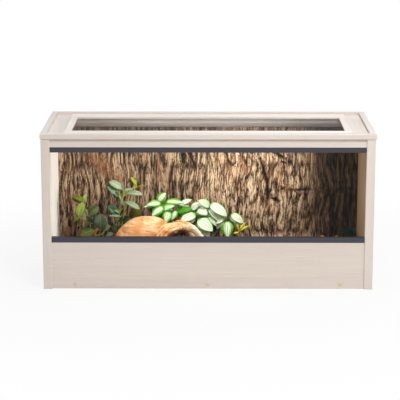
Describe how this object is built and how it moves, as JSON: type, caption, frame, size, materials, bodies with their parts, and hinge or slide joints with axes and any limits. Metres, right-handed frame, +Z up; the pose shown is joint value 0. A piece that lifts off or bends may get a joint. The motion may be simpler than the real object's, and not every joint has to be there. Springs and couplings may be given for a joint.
{
  "type": "terrarium cabinet",
  "caption": "Low wide wooden vivarium cabinet with twin-groove tracks, sliding glass doors, a framed mesh lid, bark back wall and planting.",
  "frame": {"origin": "middle of the footprint, on the surface the cabinet stands on", "axes": "+X to the right along the width, the glass front faces -Y, +Z up"},
  "size_m": [1.005, 0.405, 0.48],
  "materials": {
    "pale_wood": "pale whitewashed wood-grain laminate, satin",
    "screw_steel": "zinc-plated screw",
    "cover_plastic": "beige moulded cover",
    "track_plastic": "dark blue-grey extruded plastic, satin",
    "clear_glass": "clear float glass",
    "mesh_wire": "dark coated wire mesh",
    "bark": "rough natural bark",
    "substrate": "loose bark mulch",
    "sandstone": "smooth orange-tan stone",
    "driftwood": "weathered orange-brown driftwood",
    "broad_leaf": "soft green leaves",
    "grey_leaf": "grey-green leaves",
    "striped_leaf": "green and white striped leaves",
    "yellow_shoot": "small yellow shoots",
    "dark_leaf": "dark green leaves"
  },
  "bodies": {
    "cabinet": {"base_board": "pale_wood", "side_panel_left": "pale_wood", "side_panel_right": "pale_wood", "back_panel": "pale_wood", "back_rail": "pale_wood", "front_stile_left": "pale_wood", "front_stile_right": "pale_wood", "front_upper_rail": "pale_wood", "front_lower_panel": "pale_wood", "rim_front": "pale_wood", "rim_back": "pale_wood", "rim_left": "pale_wood", "rim_right": "pale_wood", "deck_left": "pale_wood", "deck_right": "pale_wood", "deck_front": "pale_wood", "deck_back": "pale_wood", "back_rail_screw": "screw_steel", "screw_front_left": "screw_steel", "screw_front_middle": "screw_steel", "screw_front_right": "screw_steel", "screw_left_front": "screw_steel", "screw_left_back": "screw_steel", "screw_right_front": "screw_steel", "screw_right_back": "screw_steel", "screw_cover_front_left": "cover_plastic", "screw_cover_front_middle": "cover_plastic", "screw_cover_front_right": "cover_plastic", "screw_cover_left_front": "cover_plastic", "screw_cover_left_back": "cover_plastic", "screw_cover_right_front": "cover_plastic", "screw_cover_right_back": "cover_plastic", "track_upper": "track_plastic", "track_lower": "track_plastic", "bark_background": "bark", "substrate_bed": "substrate", "basking_stone": "sandstone", "driftwood_arch": "driftwood", "broad_leaf_plant": "broad_leaf", "grey_leaf_sprig": "grey_leaf", "striped_leaf_plant_left": "striped_leaf", "striped_leaf_plant_right": "striped_leaf", "yellow_shoots": "yellow_shoot", "dark_leaf_plant": "dark_leaf"},
    "glass_left": {"glass_door_left": "clear_glass"},
    "glass_right": {"glass_door_right": "clear_glass"},
    "mesh_lid": {"lid_front": "pale_wood", "lid_back": "pale_wood", "lid_left": "pale_wood", "lid_right": "pale_wood", "lid_mesh": "mesh_wire"}
  },
  "joints": [
    {"name": "glass_left_slide", "type": "slide", "parent": "cabinet", "child": "glass_left", "axis": [1, 0, 0], "range_m": [0, 0.457]},
    {"name": "glass_right_slide", "type": "slide", "parent": "cabinet", "child": "glass_right", "axis": [-1, 0, 0], "range_m": [0, 0.457]},
    {"name": "mesh_lid_lift", "type": "slide", "parent": "cabinet", "child": "mesh_lid", "axis": [0, 0, 1], "range_m": [0, 0.15]}
  ]
}
